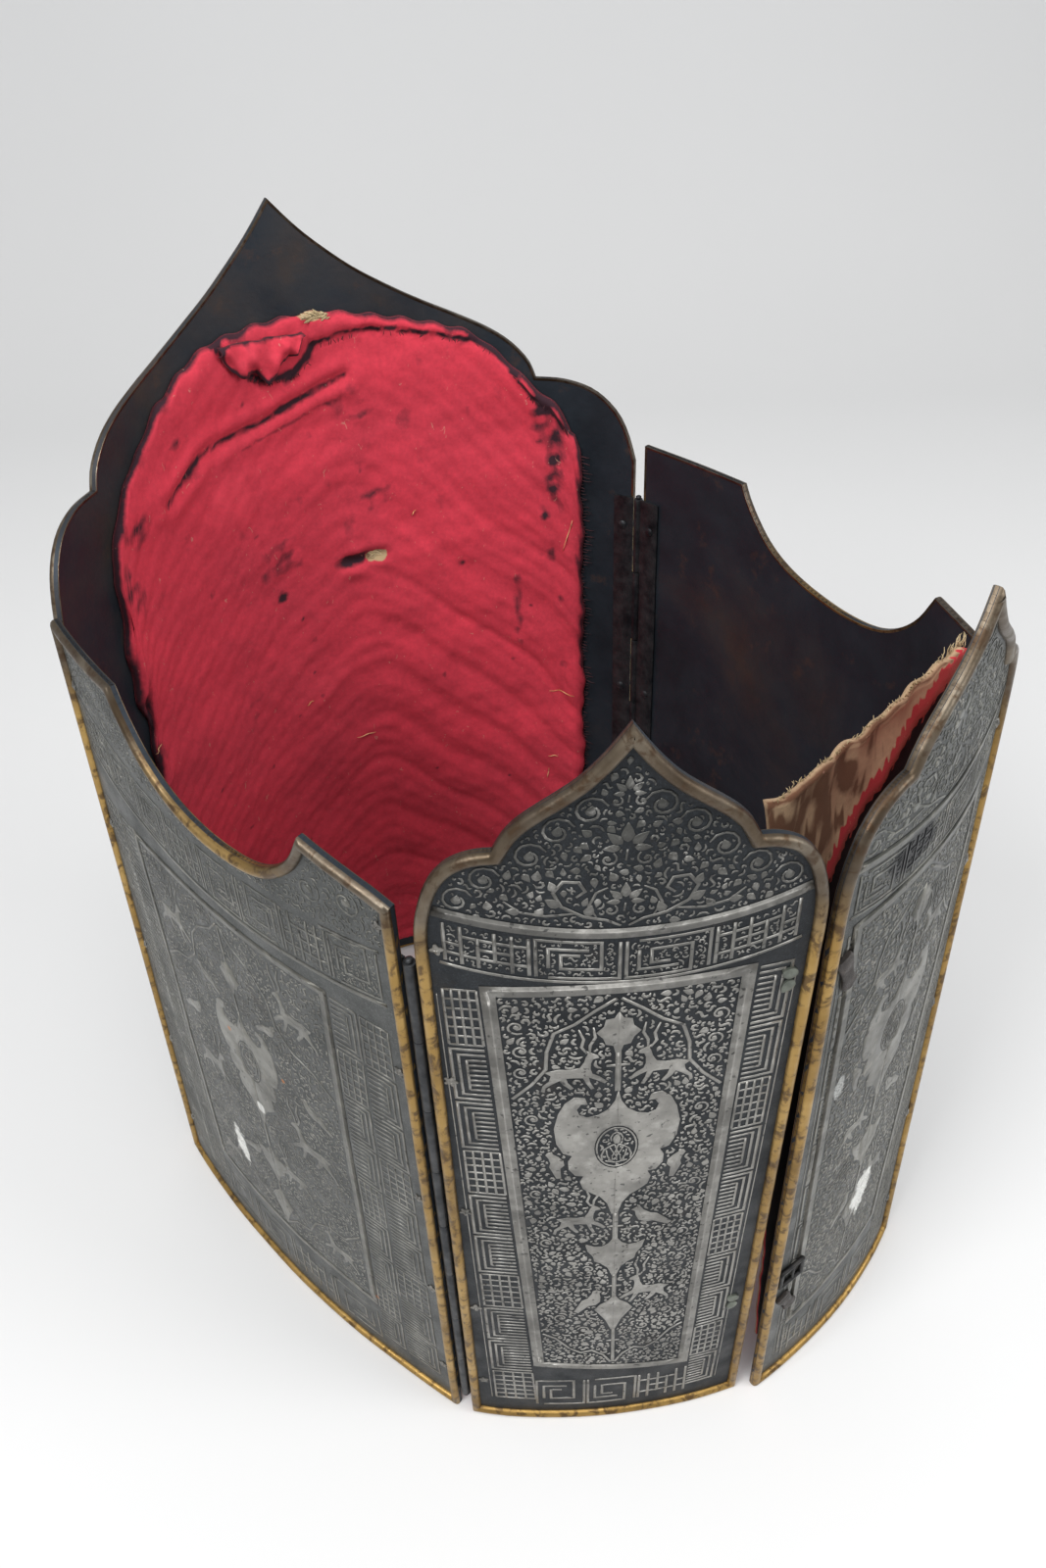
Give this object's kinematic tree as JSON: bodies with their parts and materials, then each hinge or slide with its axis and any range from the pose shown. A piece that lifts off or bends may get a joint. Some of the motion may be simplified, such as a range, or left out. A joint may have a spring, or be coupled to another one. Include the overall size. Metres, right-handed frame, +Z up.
{
  "type": "hinged plate cuirass",
  "caption": "Torso armour of hinged curved steel plates with pointed ogee tops, brass-bound edges, knuckle hinges, etched panels and a red quilted lining.",
  "frame": {"origin": "centre of the object's box on the surface that its lower edges stand on", "axes": "+Z up; the front closure faces -Y, the back plate is at +Y, +X is to the right seen from the front's own viewer"},
  "size_m": [0.3222, 0.3908, 0.502],
  "materials": {
    "etched_steel": "etched and tarnished, dark ground with worn bright raised lines",
    "inner_steel": "bare steel, dark blue-brown patina",
    "brass_binding": "half-round, worn, dark spots",
    "hinge_steel": "dark steel, rubbed on the knuckles",
    "blackened_iron": "blackened, worn",
    "black_leather": "dry and cracked",
    "red_cloth": "quilted cotton, soot-stained, worn hem",
    "buff_cloth": "undyed cloth backing, brown mottling"
  },
  "bodies": {
    "back": {"back_plate": "inner_steel", "back_rim": "brass_binding", "back_lining": "red_cloth", "left_back_hinge_leaf_a": "hinge_steel", "left_back_hinge_pin": "hinge_steel", "right_back_hinge_leaf_a": "hinge_steel", "right_back_hinge_pin": "hinge_steel"},
    "left_side": {"left_side_plate": "etched_steel", "left_side_rim": "brass_binding", "left_back_hinge_leaf_b": "hinge_steel", "left_front_hinge_leaf_a": "hinge_steel", "left_front_hinge_pin": "hinge_steel"},
    "left_front": {"left_front_plate": "etched_steel", "left_front_rim": "brass_binding", "upper_clasp_tab": "blackened_iron", "lower_clasp_tab": "blackened_iron", "left_front_hinge_leaf_b": "hinge_steel"},
    "right_side": {"right_side_plate": "etched_steel", "right_side_rim": "brass_binding", "right_front_hinge_leaf_a": "hinge_steel", "right_front_hinge_pin": "hinge_steel", "right_back_hinge_leaf_b": "hinge_steel"},
    "right_front": {"right_front_plate": "etched_steel", "right_front_rim": "brass_binding", "right_front_lining": "buff_cloth", "upper_strap": "black_leather", "lower_strap": "black_leather", "buckle_frame": "blackened_iron", "buckle_prong": "blackened_iron", "right_front_hinge_leaf_b": "hinge_steel"}
  },
  "joints": [
    {"name": "left_side_hinge", "type": "hinge", "parent": "back", "child": "left_side", "pos_m": [-0.14859, 0.12198, 0.18], "axis": [-0.0399, 0.0549, -0.9977], "range_deg": [0, 40]},
    {"name": "right_side_hinge", "type": "hinge", "parent": "back", "child": "right_side", "pos_m": [0.14846, 0.06739, 0.18], "axis": [0.019, 0.034, 0.9992], "range_deg": [0, 40]},
    {"name": "left_front_hinge", "type": "hinge", "parent": "left_side", "child": "left_front", "pos_m": [-0.11875, -0.10435, 0.18], "axis": [-0.004, 0.006, -1], "range_deg": [0, 75]},
    {"name": "right_front_hinge", "type": "hinge", "parent": "right_side", "child": "right_front", "pos_m": [0.12936, -0.1638, 0.18], "axis": [0.0239, 0.0619, 0.9978], "range_deg": [0, 75]}
  ]
}
